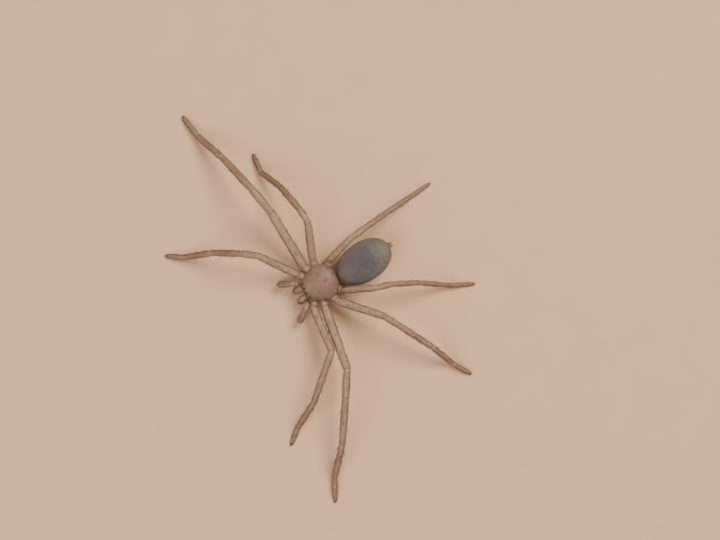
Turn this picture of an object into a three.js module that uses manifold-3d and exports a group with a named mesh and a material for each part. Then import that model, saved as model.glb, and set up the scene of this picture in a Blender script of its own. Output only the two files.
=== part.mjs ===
import * as THREE from 'three';
import { mergeVertices } from 'three/addons/utils/BufferGeometryUtils.js';
import Module from 'manifold-3d';

// A huntsman spider at life size, in millimetres, standing on a floor at z = 0.
// Up is +Z, the head points along -Y and the spider's left side is +X.
// Headings are degrees from straight ahead, turning outward on either side of the body.
// Slopes are degrees above the horizontal, seen when walking outward along a leg.

const wasm = await Module();
wasm.setup();

// Space between pieces that touch in life
const GAP = 0.26;
const COXA_GAP = 0.2;
const EYE_GAP = 0.04;
const FANG_GAP = 0.1;

// Facets
const LEG_SIDES = 10;
const BODY_SIDES = 24;
const ABDOMEN_SIDES = 28;
const RINGS_PER_STATION = 2;

// Carapace, from the face to the rear edge: y, half width, height above and depth below its rim
const RIM_HEIGHT = 3.4;
const CARAPACE = [
  [-3, 0, 0, 0],
  [-2.98, 1.15, 0.62, 0.4],
  [-2.5, 1.72, 1.08, 0.85],
  [-1.4, 2.42, 1.34, 1.25],
  [0, 2.98, 1.44, 1.35],
  [1.3, 2.95, 1.36, 1.35],
  [2.4, 2.2, 0.98, 1.1],
  [2.95, 1.15, 0.45, 0.6],
  [3.05, 0, 0, 0],
];

// Pedicel, the narrow waist between carapace and abdomen
const PEDICEL = { start: [0, 2.2, 2.9], end: [0.25, 3.9, 2.8], radius: 0.42 };
const PEDICEL_OUTLINE = [[0, 1], [0.55, 0.85], [0.9, 1], [1, 0.8]];

// Sternum and labium, the plate between the legs underneath
const STERNUM_HEIGHT = 1.48;
const STERNUM = [
  [-1.54, 0, 0, 0],
  [-1.52, 0.76, 0.2, 0.14],
  [-0.95, 1.32, 0.27, 0.26],
  [-0.2, 1.5, 0.3, 0.3],
  [0.75, 1.2, 0.3, 0.3],
  [1.5, 0.6, 0.24, 0.22],
  [1.92, 0, 0, 0],
];
const LABIUM = { centre: [0, -1.6, 1.48], size: [0.29, 0.42, 0.24] };

// Abdomen, an egg with its broad end behind, swung a little to the right
const ABDOMEN = {
  front: [0.67, 3.32, 3.6],
  length: 9.85,
  halfWidth: 3.3,
  above: 2.7,
  below: 2.55,
  broadening: 0.06,
  shoulder: 2.5,
  swing: 4.8,
  tilt: -2,
};
const ABDOMEN_TAIL_DEPTH = 0.6;
const SPINNERETS = {
  length: 0.5, width: 0.54, spread: 0.22, rise: 0.2, height: -0.6, rootShare: 0.7, sides: 8,
};
const SPINNERET_OUTLINE = [[0, 1], [0.75, 0.85], [0.95, 0.5], [1, 0]];

// Chelicerae and fangs. The left chelicera is turned out and raised a little.
const CHELICERA = {
  base: [0.72, -2.7, 2.95],
  rightTip: [0.68, -4.42, 1.74],
  leftTip: [1.2, -4.56, 2.04],
  width: 1.26,
  sides: 12,
};
const CHELICERA_OUTLINE = [
  [-0.1, 0], [-0.06, 0.6], [0.1, 0.86], [0.36, 1], [0.65, 0.97], [0.88, 0.83], [1.01, 0.52], [1.06, 0]];
// Root and point of a fang, from the tip of its chelicera
const FANG = { root: [0.2, 0, -0.2], point: [-0.6, 0.5, -0.5], radius: 0.26, bow: 0.16, sides: 8 };
const FANG_OUTLINE = [[0, 0], [0.02, 1], [0.3, 0.9], [0.65, 0.62], [0.95, 0.3], [1, 0]];

// Palps: the endite beside the mouth, then the limb up to its knee and down to the club
const ENDITE = { centre: [0.78, -2.42, 1.6], size: [0.42, 0.78, 0.34], toeIn: 10 };
const PALP_ROOT = [1.04, -2.66, 1.72];
const PALP_WIDTH = 0.9;
const PALP_CLUB_WIDTH = 1.14;
const PALP_CLUB_LENGTH = 1.9;
const PALP_THIGH_OUTLINE = [[-0.1, 0.4], [0.2, 0.62], [0.7, 0.86], [1.02, 0.88], [1.16, 0.24]];
const PALP_SHIN_OUTLINE = [[-0.25, 0.24], [-0.1, 0.9], [0.4, 1], [1.2, 0.86]];
const PALP_CLUB_OUTLINE = [[-0.1, 0.7], [0.15, 0.82], [0.5, 1], [0.78, 0.92], [0.95, 0.5], [1, 0]];
const PALPS = [
  { name: 'palp_right', side: -1, knee: [2, -3.9, 2.75], tip: [3.07, -6.32, 1.7] },
  { name: 'palp_left', side: 1, knee: [2.4, -3.78, 2.85], tip: [4.2, -6.1, 1.7] },
];

// Eyes: distance from the midline, y, height and radius
const EYES = [
  { name: 'front_middle', place: [0.25, -2.97, 3.76], radius: 0.17 },
  { name: 'front_side', place: [0.78, -2.94, 3.7], radius: 0.21 },
  { name: 'rear_middle', place: [0.42, -2.66, 4.26], radius: 0.16 },
  { name: 'rear_side', place: [1.18, -2.56, 4.1], radius: 0.19 },
];

// Legs of each pair: for femur, patella, tibia, metatarsus and tarsus, lengths and widths,
// and how wide the coxa is beside its outline
const PAIRS = {
  first: { lengths: [8.1, 2.75, 6.2, 5.8, 3.05], widths: [1.3, 1.12, 1.08, 1, 0.84], coxa: 1 },
  second: { lengths: [11.2, 4.8, 8.1, 6.5, 4.1], widths: [1.56, 1.28, 1.2, 1.1, 0.92], coxa: 1.02 },
  third: { lengths: [8.3, 2.6, 6.6, 5.2, 3.4], widths: [1.36, 1.08, 1.06, 0.95, 0.82], coxa: 1.03 },
  fourth: { lengths: [6.3, 2.8, 5.2, 6.1, 3.7], widths: [1.16, 1, 0.88, 0.8, 0.72], coxa: 1.24 },
};

// Pose of each leg. Size is its length beside the pair's. Headings go from the coxa to the
// tarsus. Slopes are those of femur, patella and tibia, because the last two parts reach
// down to the floor.
const leg = (name, side, pair, size, headings, slopes) => ({ name, side, pair, size, headings, slopes });
const LEGS = [
  leg('leg_right_1', -1, 'first', 0.98, [49, 54, 36, 30, 19, 34], [30, 6, -34]),
  leg('leg_right_2', -1, 'second', 0.99, [75, 87, 78, 75, 69, 81], [22, 6, -26]),
  leg('leg_right_3', -1, 'third', 0.97, [101, 111, 85, 77, 65, 94], [39, 8, -39]),
  leg('leg_right_4', -1, 'fourth', 0.98, [140, 163, 172, 172, 174, 174], [36, 0, -30]),
  leg('leg_left_1', 1, 'first', 1.03, [47, 85, 42, 43, 29, 42], [19, 4, -12]),
  leg('leg_left_2', 1, 'second', 1, [74, 82, 59, 58, 49, 64], [17, 2, -16]),
  leg('leg_left_3', 1, 'third', 1.04, [107, 134, 120, 119, 113, 122], [19, 4, -15]),
  leg('leg_left_4', 1, 'fourth', 1.04, [137, 155, 165, 155, 147, 156], [41, 0, -30]),
];
const COXA_START = 1.9;
const FEMUR_START = 4.15;
const COXA_START_HEIGHT = 2.22;
const FEMUR_START_HEIGHT = 2.4;
const ANKLE_HEIGHT = 0.75;
const TOE_HEIGHT_SHARE = 0.2;

// Outline of each leg part: how far along it, and its width there beside the part's width.
// The coxa's outline gives radii in millimetres. Past its groove the trochanter begins.
const COXA_OUTLINE = [
  [-0.08, 0], [0, 0.33], [0.4, 0.52], [0.68, 0.67], [0.76, 0.66], [0.84, 0.56], [0.92, 0.64], [1.12, 0.62]];
const TROCHANTER_START = 0.8;
const COXA_TALLNESS = 1.12;
const FEMUR_OUTLINE = [
  [-0.06, 0.86], [0.04, 0.91], [0.12, 0.98], [0.26, 1], [0.62, 0.93], [0.93, 0.88], [1.06, 0.84]];
const PATELLA_OUTLINE = [[-0.2, 0.84], [0.05, 0.88], [0.35, 1], [0.8, 0.98], [1.08, 0.9]];
const TIBIA_OUTLINE = [[-0.05, 0.86], [0.05, 0.92], [0.18, 1], [0.6, 1], [0.93, 0.92], [1.08, 0.86]];
const METATARSUS_OUTLINE = [[-0.08, 0.88], [0.05, 0.94], [0.2, 1], [0.7, 0.97], [0.95, 0.88], [1.08, 0.86]];
const TARSUS_OUTLINE = [
  [-0.12, 0.88], [0.05, 0.94], [0.3, 1], [0.72, 0.86], [0.9, 0.7], [0.98, 0.45], [1, 0]];

// Colours
const material = (color, roughness, metalness = 0) =>
  new THREE.MeshStandardMaterial({ color, roughness, metalness });
const CARAPACE_SKIN = material(0x96705f, 0.5);
const STERNUM_SKIN = material(0xa37c63, 0.55);
const ABDOMEN_SKIN = material(0x67605a, 0.7);
const LEG_SKIN = material(0x9a7e66, 0.6);
const LEG_END_SKIN = material(0x7b6352, 0.7);
const CHELICERA_SKIN = material(0x6f4c3e, 0.4);
const FANG_HORN = material(0x2a1512, 0.25);
const EYE_GLASS = material(0x120d0c, 0.1);

// Geometry helpers

const vector = (coordinates) => new THREE.Vector3(...coordinates);

function toSolid(geometry) {
  const bare = geometry.clone();
  bare.deleteAttribute('normal');
  bare.deleteAttribute('uv');
  const merged = mergeVertices(bare, 1e-5);
  const corners = merged.index.array;
  const kept = [];
  for (let i = 0; i < corners.length; i += 3) {
    const [a, b, c] = corners.slice(i, i + 3);
    if (a !== b && b !== c && c !== a) {
      kept.push(a, b, c);
    }
  }
  return new wasm.Manifold(new wasm.Mesh({
    numProp: 3,
    vertProperties: new Float32Array(merged.attributes.position.array),
    triVerts: new Uint32Array(kept),
  }));
}

function toGeometry(solid) {
  const { vertProperties, triVerts } = largestPiece(solid).getMesh();
  const geometry = new THREE.BufferGeometry();
  geometry.setAttribute('position', new THREE.BufferAttribute(vertProperties, 3));
  geometry.setIndex(new THREE.BufferAttribute(triVerts, 1));
  return geometry;
}

function largestPiece(solid) {
  return solid.decompose().reduce((a, b) => (a.volume() > b.volume() ? a : b));
}

function union(solids) {
  return solids.reduce((joined, solid) => joined.add(solid));
}

// Local +Y runs along the direction and local +Z stays as near upright as it can
function placement(origin, direction) {
  const y = direction.clone().normalize();
  const x = new THREE.Vector3().crossVectors(y, new THREE.Vector3(0, 0, 1)).normalize();
  const z = new THREE.Vector3().crossVectors(x, y);
  return new THREE.Matrix4().makeBasis(x, y, z).setPosition(origin);
}

// All of space on the side of a plane that its normal points to, within reach of the body
function halfSpace(point, normal) {
  const reach = 40;
  const box = new THREE.BoxGeometry(reach, reach, reach).translate(0, reach / 2, 0);
  const turn = new THREE.Quaternion().setFromUnitVectors(new THREE.Vector3(0, 1, 0), normal);
  box.applyQuaternion(turn).translate(point.x, point.y, point.z);
  return toSolid(box);
}

// A round limb from one point to another; the outline gives radii at fractions of its length
function limb(from, to, outline, sides = LEG_SIDES, tallness = 1) {
  const direction = to.clone().sub(from);
  const length = direction.length();
  const profile = outline.map(([along, radius]) => new THREE.Vector2(radius, along * length));
  if (profile[0].x > 0) {
    profile.unshift(new THREE.Vector2(0, profile[0].y));
  }
  if (profile.at(-1).x > 0) {
    profile.push(new THREE.Vector2(0, profile.at(-1).y));
  }
  const geometry = new THREE.LatheGeometry(profile, sides, Math.PI / sides);
  geometry.scale(1, 1, tallness);
  return toSolid(geometry.applyMatrix4(placement(from, direction)));
}

const scaledOutline = (outline, width, extra = 0) =>
  outline.map(([along, share]) => [along, share > 0 ? (share * width) / 2 + extra : 0]);

// A closed body along Y whose elliptical sections follow stations of
// [y, half width, height above, depth below]
function lofted(stations, centreHeight = 0, sides = BODY_SIDES) {
  const smooth = (points) => new THREE.CatmullRomCurve3(points, false, 'catmullrom');
  const upper = smooth(stations.map(([y, width, above]) => new THREE.Vector3(y, width, above)));
  const lower = smooth(stations.map(([y, width, , below]) => new THREE.Vector3(y, width, below)));
  const rings = (stations.length - 1) * RINGS_PER_STATION;
  const geometry = new THREE.SphereGeometry(1, sides, rings);
  const position = geometry.attributes.position;
  for (let i = 0; i < position.count; i += 1) {
    const along = 1 - Math.acos(THREE.MathUtils.clamp(position.getY(i), -1, 1)) / Math.PI;
    const angle = Math.atan2(position.getZ(i), position.getX(i));
    const section = (Math.sin(angle) >= 0 ? upper : lower).getPoint(along);
    const pole = along < 1e-6 || along > 1 - 1e-6;
    const width = pole ? 0 : Math.max(section.y, 0);
    const height = pole ? 0 : Math.max(section.z, 0);
    position.setXYZ(i, width * Math.cos(angle), section.x, centreHeight + height * Math.sin(angle));
  }
  return toSolid(geometry);
}

function ellipsoid(centre, size, turn = 0) {
  const geometry = new THREE.SphereGeometry(1, 16, 10);
  geometry.scale(...size).rotateZ(THREE.MathUtils.degToRad(turn)).translate(...centre);
  return toSolid(geometry);
}

function ball(centre, radius) {
  const geometry = new THREE.IcosahedronGeometry(radius, 1);
  return toSolid(geometry.translate(centre.x, centre.y, centre.z));
}

function mirrored(coordinates, side) {
  const [x, y, z] = coordinates;
  return new THREE.Vector3(side * x, y, z);
}

function named(name, solid, skin, origin, direction) {
  const placed = placement(origin, direction);
  const geometry = toGeometry(solid).applyMatrix4(placed.clone().invert());
  geometry.computeVertexNormals();
  const mesh = new THREE.Mesh(geometry, skin);
  mesh.name = name;
  mesh.applyMatrix4(placed);
  return mesh;
}

const AHEAD = new THREE.Vector3(0, -1, 0);
const UP = new THREE.Vector3(0, 0, 1);
const degrees = THREE.MathUtils.degToRad;

// Legs

function outward(side, heading, slope) {
  const flat = Math.cos(degrees(slope));
  return new THREE.Vector3(
    side * Math.sin(degrees(heading)) * flat,
    -Math.cos(degrees(heading)) * flat,
    Math.sin(degrees(slope)));
}

// The coxa's start and the six joints from the femur's start to the toe
function legJoints({ side, pair, size, headings, slopes }) {
  const { lengths, widths, coxa: stoutness } = PAIRS[pair];
  const [coxa, ...later] = headings;
  const start = outward(side, coxa, 0).multiplyScalar(COXA_START).setZ(COXA_START_HEIGHT);
  const joints = [outward(side, coxa, 0).multiplyScalar(FEMUR_START).setZ(FEMUR_START_HEIGHT)];
  const ends = { 3: ANKLE_HEIGHT, 4: widths.at(-1) * TOE_HEIGHT_SHARE };
  lengths.forEach((pairLength, i) => {
    const length = pairLength * size;
    const last = joints.at(-1);
    const slope = slopes[i] ?? THREE.MathUtils.radToDeg(Math.asin((ends[i] - last.z) / length));
    joints.push(outward(side, later[i], slope).multiplyScalar(length).add(last));
  });
  return { start, joints, stoutness };
}

// The plane halfway round the bend between two parts that meet
function bendNormal(before, at, after) {
  const arriving = at.clone().sub(before).normalize();
  const leaving = after.clone().sub(at).normalize();
  return arriving.add(leaving).normalize();
}

const keepBefore = (solid, at, normal) =>
  solid.intersect(halfSpace(at.clone().addScaledVector(normal, -GAP / 2), normal.clone().negate()));
const keepAfter = (solid, at, normal) =>
  solid.intersect(halfSpace(at.clone().addScaledVector(normal, GAP / 2), normal));

function coxaSolid({ start, joints, stoutness }, extra = 0) {
  const outline = COXA_OUTLINE.map(([along, radius]) => {
    const share = along < TROCHANTER_START ? stoutness : 1;
    return [along, radius > 0 ? radius * share + extra : 0];
  });
  outline[0][0] -= extra / 2;
  return limb(start, joints[0], outline, LEG_SIDES, COXA_TALLNESS);
}

function buildLeg(pose) {
  const bones = legJoints(pose);
  const { start, joints } = bones;
  const { widths } = PAIRS[pose.pair];
  const path = [start, ...joints];
  const normals = joints.slice(0, -1).map((at, i) => bendNormal(path[i], at, path[i + 2]));
  const part = (i, outline) => limb(joints[i], joints[i + 1], scaledOutline(outline, widths[i]));
  const coxa = keepBefore(coxaSolid(bones), joints[0], normals[0]);
  const femur = keepBefore(keepAfter(part(0, FEMUR_OUTLINE), joints[0], normals[0]), joints[1], normals[1]);
  const patella = keepAfter(part(1, PATELLA_OUTLINE), joints[1], normals[1]);
  const tibia = keepBefore(part(2, TIBIA_OUTLINE), joints[3], normals[3]);
  const metatarsus = keepBefore(
    keepAfter(part(3, METATARSUS_OUTLINE), joints[3], normals[3]), joints[4], normals[4]);
  const aboveFloor = halfSpace(joints[5].clone().setZ(0), UP);
  const tarsus = keepAfter(part(4, TARSUS_OUTLINE), joints[4], normals[4]).intersect(aboveFloor);
  const group = new THREE.Group();
  const add = (name, solid, skin, i) => group.add(
    named(`${pose.name}_${name}`, solid, skin, path[i], path[i + 1].clone().sub(path[i])));
  add('coxa', coxa, LEG_SKIN, 0);
  add('femur', femur, LEG_SKIN, 1);
  add('tibia', patella.add(tibia), LEG_SKIN, 2);
  add('metatarsus', metatarsus, LEG_END_SKIN, 4);
  add('tarsus', tarsus, LEG_END_SKIN, 5);
  return group;
}

// Mouthparts

function jawJoints(side) {
  const base = mirrored(CHELICERA.base, side);
  const tip = mirrored(side < 0 ? CHELICERA.rightTip : CHELICERA.leftTip, side);
  const fangRoot = tip.clone().add(mirrored(FANG.root, side));
  const fangPoint = tip.clone().add(mirrored(FANG.point, side));
  return { base, tip, fangRoot, fangPoint };
}

function cheliceraSolid(side, extra = 0) {
  const { base, tip } = jawJoints(side);
  const outline = scaledOutline(CHELICERA_OUTLINE, CHELICERA.width, extra);
  outline[0][0] -= extra / 2;
  const solid = limb(base, tip, outline, CHELICERA.sides);
  return solid.subtract(fangSolid(side, FANG_GAP));
}

function fangSolid(side, extra = 0) {
  const { radius, bow, sides } = FANG;
  const { fangRoot, fangPoint } = jawJoints(side);
  const length = fangRoot.distanceTo(fangPoint);
  const profile = FANG_OUTLINE.map(([along, share]) => new THREE.Vector2(
    share > 0 ? share * radius + extra : 0,
    along * length + Math.sign(along - 0.5) * (share > 0 ? 0 : extra)));
  const geometry = new THREE.LatheGeometry(profile, sides);
  const position = geometry.attributes.position;
  for (let i = 0; i < position.count; i += 1) {
    const along = position.getY(i) / length;
    position.setZ(i, position.getZ(i) - bow * 4 * along * (1 - along));
  }
  return toSolid(geometry.applyMatrix4(placement(fangRoot, fangPoint.clone().sub(fangRoot))));
}

function palpSolids({ side, knee, tip }) {
  const from = mirrored(PALP_ROOT, side);
  const bend = mirrored(knee, side);
  const end = mirrored(tip, side);
  const direction = end.clone().sub(bend).normalize();
  const wrist = end.clone().addScaledVector(direction, -PALP_CLUB_LENGTH);
  const endite = ellipsoid(
    [side * ENDITE.centre[0], ENDITE.centre[1], ENDITE.centre[2]], ENDITE.size, side * ENDITE.toeIn);
  const thigh = limb(from, bend, scaledOutline(PALP_THIGH_OUTLINE, PALP_WIDTH));
  const shin = limb(bend, wrist, scaledOutline(PALP_SHIN_OUTLINE, PALP_WIDTH));
  const whole = union([endite, thigh, shin]).subtract(cheliceraSolid(side, GAP));
  const base = keepBefore(whole, wrist, direction);
  const tarsus = limb(wrist, end, scaledOutline(PALP_CLUB_OUTLINE, PALP_CLUB_WIDTH));
  return { base, tarsus: keepAfter(tarsus, wrist, direction), from, bend, wrist, end };
}

// Body

function eyeBalls(extra = 0) {
  return [-1, 1].flatMap((side) => EYES.map(({ name, place, radius }) => ({
    name: `eye_${side < 0 ? 'right' : 'left'}_${name}`,
    centre: mirrored(place, side),
    solid: ball(mirrored(place, side), radius + extra),
  })));
}

function cephalothoraxSolid() {
  const { start, end, radius } = PEDICEL;
  const waist = limb(vector(start), vector(end), scaledOutline(PEDICEL_OUTLINE, 2 * radius));
  let solid = lofted(CARAPACE, RIM_HEIGHT).add(waist);
  solid = solid.subtract(abdomenSolid(GAP).transform(abdomenPlace().elements));
  for (const pose of LEGS) {
    solid = solid.subtract(coxaSolid(legJoints(pose), COXA_GAP));
  }
  for (const side of [-1, 1]) {
    solid = solid.subtract(cheliceraSolid(side, GAP));
  }
  for (const eye of eyeBalls(EYE_GAP)) {
    solid = solid.subtract(eye.solid);
  }
  return solid;
}

function sternumSolid() {
  let solid = lofted(STERNUM, STERNUM_HEIGHT).add(ellipsoid(LABIUM.centre, LABIUM.size));
  for (const pose of LEGS) {
    solid = solid.subtract(coxaSolid(legJoints(pose), COXA_GAP));
  }
  return solid;
}

// The egg in its own frame, with its front tip at the origin; extra makes it larger all round
function abdomenSolid(extra = 0) {
  const { length, halfWidth, above, below, broadening, shoulder } = ABDOMEN;
  const count = 8;
  const stations = Array.from({ length: count + 1 }, (_, i) => {
    const t = -Math.cos((Math.PI * i) / count);
    const swell = Math.sqrt(1 - Math.abs(t) ** (t < 0 ? shoulder : 2)) * (1 + broadening * t);
    const y = length / 2 + (length / 2 + extra) * t;
    return [y, (halfWidth + extra) * swell, (above + extra) * swell, (below + extra) * swell];
  });
  return lofted(stations, 0, ABDOMEN_SIDES);
}

function abdomenPlace() {
  const turn = new THREE.Euler(degrees(ABDOMEN.tilt), 0, degrees(ABDOMEN.swing), 'ZXY');
  return new THREE.Matrix4().makeRotationFromEuler(turn).setPosition(...ABDOMEN.front);
}

function spinneretsSolid() {
  const { length, width, spread, rise, height, rootShare, sides } = SPINNERETS;
  const root = ABDOMEN.length - ABDOMEN_TAIL_DEPTH;
  const cones = [];
  for (const across of [-1, 1]) {
    for (const level of [-1, 1]) {
      const from = new THREE.Vector3(
        across * spread * rootShare, root, level * rise * rootShare + height);
      const to = new THREE.Vector3(across * spread, ABDOMEN.length + length, level * rise + height);
      cones.push(limb(from, to, scaledOutline(SPINNERET_OUTLINE, width), sides));
    }
  }
  return union(cones).subtract(abdomenSolid(GAP));
}

function buildAbdomen() {
  const group = new THREE.Group();
  const origin = new THREE.Vector3();
  const behind = new THREE.Vector3(0, 1, 0);
  group.add(named('abdomen', abdomenSolid(), ABDOMEN_SKIN, origin, behind));
  group.add(named('spinnerets', spinneretsSolid(), LEG_SKIN, origin, behind));
  group.applyMatrix4(abdomenPlace());
  return group;
}

function buildHead() {
  const group = new THREE.Group();
  for (const side of [-1, 1]) {
    const word = side < 0 ? 'right' : 'left';
    const { base, tip, fangRoot, fangPoint } = jawJoints(side);
    group.add(named(`chelicera_${word}`, cheliceraSolid(side), CHELICERA_SKIN, base, tip.sub(base)));
    const ahead = fangPoint.sub(fangRoot);
    group.add(named(`fang_${word}`, fangSolid(side), FANG_HORN, fangRoot, ahead));
  }
  for (const palp of PALPS) {
    const { base, tarsus, from, bend, wrist, end } = palpSolids(palp);
    group.add(named(`${palp.name}_base`, base, LEG_SKIN, from, bend.clone().sub(from)));
    group.add(named(`${palp.name}_club`, tarsus, LEG_END_SKIN, wrist, end.clone().sub(wrist)));
  }
  for (const eye of eyeBalls()) {
    group.add(named(eye.name, eye.solid, EYE_GLASS, eye.centre, AHEAD));
  }
  return group;
}

// The whole spider, with its origin on the floor under the middle of its span

const spider = new THREE.Group();
const prosoma = new THREE.Group();
const middle = new THREE.Vector3(0, 0, RIM_HEIGHT);
prosoma.add(named('cephalothorax', cephalothoraxSolid(), CARAPACE_SKIN, middle, AHEAD));
prosoma.add(named('sternum', sternumSolid(), STERNUM_SKIN, new THREE.Vector3(0, 0, STERNUM_HEIGHT), AHEAD));
spider.add(prosoma, buildHead(), buildAbdomen());
LEGS.forEach((pose) => spider.add(buildLeg(pose)));

const span = new THREE.Box3().setFromObject(spider, true);
const centre = span.getCenter(new THREE.Vector3());
spider.position.set(-centre.x, -centre.y, -span.min.z);

export default spider;
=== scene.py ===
import math

import bpy
import numpy as np
from mathutils import Matrix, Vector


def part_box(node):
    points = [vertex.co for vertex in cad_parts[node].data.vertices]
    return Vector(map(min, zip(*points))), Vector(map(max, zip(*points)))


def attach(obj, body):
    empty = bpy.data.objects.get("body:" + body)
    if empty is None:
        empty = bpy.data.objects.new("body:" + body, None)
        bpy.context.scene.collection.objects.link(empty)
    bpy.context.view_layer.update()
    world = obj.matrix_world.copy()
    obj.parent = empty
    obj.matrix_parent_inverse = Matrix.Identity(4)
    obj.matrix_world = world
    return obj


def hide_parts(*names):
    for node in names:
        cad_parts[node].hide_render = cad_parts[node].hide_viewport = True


# A huntsman spider, life size, on a pale floor, seen from straight above.
# Everything is worked out in millimetres in the body's own frame, as in the CAD: the head points
# along -Y, the left side is +X, up is +Z, and the floor is at z = 0. place() turns that into the
# frame's metres. Headings are degrees from straight ahead, turning outward on either side.

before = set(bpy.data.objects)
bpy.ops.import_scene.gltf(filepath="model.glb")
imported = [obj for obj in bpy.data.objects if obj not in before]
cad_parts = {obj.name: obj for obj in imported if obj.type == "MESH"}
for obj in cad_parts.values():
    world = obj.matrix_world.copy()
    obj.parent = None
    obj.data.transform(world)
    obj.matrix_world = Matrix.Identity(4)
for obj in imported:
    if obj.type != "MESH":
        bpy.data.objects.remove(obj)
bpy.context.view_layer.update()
MM = 0.001
FLOOR_CLEARANCE = 0.012

# How far the skin lies inside the solids, which is the depth of the lying hair
COAT_DEPTH = 0.035

# Carapace: y, half width, height above and depth below its rim
RIM_HEIGHT = 3.4
CARAPACE = [
    (-3, 0, 0, 0),
    (-2.98, 1.15, 0.62, 0.4),
    (-2.5, 1.72, 1.08, 0.85),
    (-1.4, 2.42, 1.34, 1.25),
    (0, 2.98, 1.44, 1.35),
    (1.3, 2.95, 1.36, 1.35),
    (2.4, 2.2, 0.98, 1.1),
    (2.95, 1.15, 0.45, 0.6),
    (3.05, 0, 0, 0),
]
FOVEA = (0, 1.05)
# The waist, whose end lies inside the abdomen
WAIST = {
    "start": (0, 2.2, 2.9), "end": (0.38, 4.35, 3.12), "width": 0.84,
    "outline": [(0, 1), (0.5, 0.85), (0.9, 1), (1, 0.95)],
}

# Sternum and labium
STERNUM_HEIGHT = 1.48
STERNUM = [
    (-1.54, 0, 0, 0),
    (-1.52, 0.76, 0.2, 0.14),
    (-0.95, 1.32, 0.27, 0.26),
    (-0.2, 1.5, 0.3, 0.3),
    (0.75, 1.2, 0.3, 0.3),
    (1.5, 0.6, 0.24, 0.22),
    (1.92, 0, 0, 0),
]
LABIUM = {"centre": (0, -1.6, 1.48), "size": (0.29, 0.42, 0.24)}

# Abdomen, in its own frame with the waist end at the origin
ABDOMEN = {
    "front": (0.67, 3.32, 3.6), "length": 9.85, "half_width": 3.3, "above": 2.7, "below": 2.55,
    "broadening": 0.06, "shoulder": 2.5, "swing": 4.8, "tilt": -2,
}
SPINNERETS = {"length": 0.5, "width": 0.54, "spread": 0.22, "rise": 0.2, "height": -0.6}

# Mouthparts
CHELICERA = {
    "base": (0.72, -2.7, 2.95), "tips": {-1: (0.68, -4.42, 1.74), 1: (1.2, -4.56, 2.04)},
    "width": 1.26,
}
CHELICERA_OUTLINE = [
    (-0.1, 0), (-0.06, 0.6), (0.1, 0.86), (0.36, 1), (0.65, 0.97), (0.88, 0.83), (1.01, 0.52), (1.06, 0)]
# Root and point of a fang, from the tip of its chelicera
FANG = {"root": (0.2, 0, -0.2), "point": (-0.6, 0.5, -0.5), "radius": 0.26, "bow": 0.16}
FANG_OUTLINE = [(0, 0.6), (0.02, 1), (0.3, 0.9), (0.65, 0.62), (0.95, 0.22), (1, 0.02)]
ENDITE = {"centre": (0.78, -2.42, 1.6), "size": (0.42, 0.78, 0.34), "toe_in": 10}
PALP_ROOT = (1.04, -2.66, 1.72)
PALP_WIDTH = 0.9
PALP_CLUB_WIDTH = 1.14
PALP_CLUB_LENGTH = 1.9
PALP_OUTLINES = [
    [(0, 0.4), (0.2, 0.62), (0.7, 0.86), (1.02, 0.88)],
    [(-0.1, 0.9), (0.4, 1), (1.2, 0.86)],
    [(-0.1, 0.7), (0.15, 0.82), (0.5, 1), (0.78, 0.92), (0.95, 0.5), (1, 0)],
]
PALPS = {
    "palp_right": (-1, (2, -3.9, 2.75), (3.07, -6.32, 1.7)),
    "palp_left": (1, (2.4, -3.78, 2.85), (4.2, -6.1, 1.7)),
}

# Eyes: distance from the midline, y, height and radius
EYES = {
    "front_middle": ((0.25, -2.97, 3.76), 0.17),
    "front_side": ((0.78, -2.94, 3.7), 0.21),
    "rear_middle": ((0.42, -2.66, 4.26), 0.16),
    "rear_side": ((1.18, -2.56, 4.1), 0.19),
}

# Legs: lengths and widths of femur, patella, tibia, metatarsus and tarsus, and how stout the coxa is
PAIRS = {
    "first": ((8.1, 2.75, 6.2, 5.8, 3.05), (1.3, 1.12, 1.08, 1, 0.84), 1),
    "second": ((11.2, 4.8, 8.1, 6.5, 4.1), (1.56, 1.28, 1.2, 1.1, 0.92), 1.02),
    "third": ((8.3, 2.6, 6.6, 5.2, 3.4), (1.36, 1.08, 1.06, 0.95, 0.82), 1.03),
    "fourth": ((6.3, 2.8, 5.2, 6.1, 3.7), (1.16, 1, 0.88, 0.8, 0.72), 1.24),
}
# Side, pair, length beside the pair's, headings from coxa to tarsus, slopes of the first three parts
LEGS = {
    "leg_right_1": (-1, "first", 0.98, (49, 54, 36, 30, 19, 34), (30, 6, -34)),
    "leg_right_2": (-1, "second", 0.99, (75, 87, 78, 75, 69, 81), (22, 6, -26)),
    "leg_right_3": (-1, "third", 0.97, (101, 111, 85, 77, 65, 94), (39, 8, -39)),
    "leg_right_4": (-1, "fourth", 0.98, (140, 163, 172, 172, 174, 174), (36, 0, -30)),
    "leg_left_1": (1, "first", 1.03, (47, 85, 42, 43, 29, 42), (19, 4, -12)),
    "leg_left_2": (1, "second", 1.0, (74, 82, 59, 58, 49, 64), (17, 2, -16)),
    "leg_left_3": (1, "third", 1.04, (107, 134, 120, 119, 113, 122), (19, 4, -15)),
    "leg_left_4": (1, "fourth", 1.04, (137, 155, 165, 155, 147, 156), (41, 0, -30)),
}
COXA_START, FEMUR_START = 1.9, 4.15
COXA_START_HEIGHT, FEMUR_START_HEIGHT = 2.22, 2.4
ANKLE_HEIGHT = 0.75
TOE_HEIGHT_SHARE = 0.2
COXA_TALLNESS = 1.12

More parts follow.
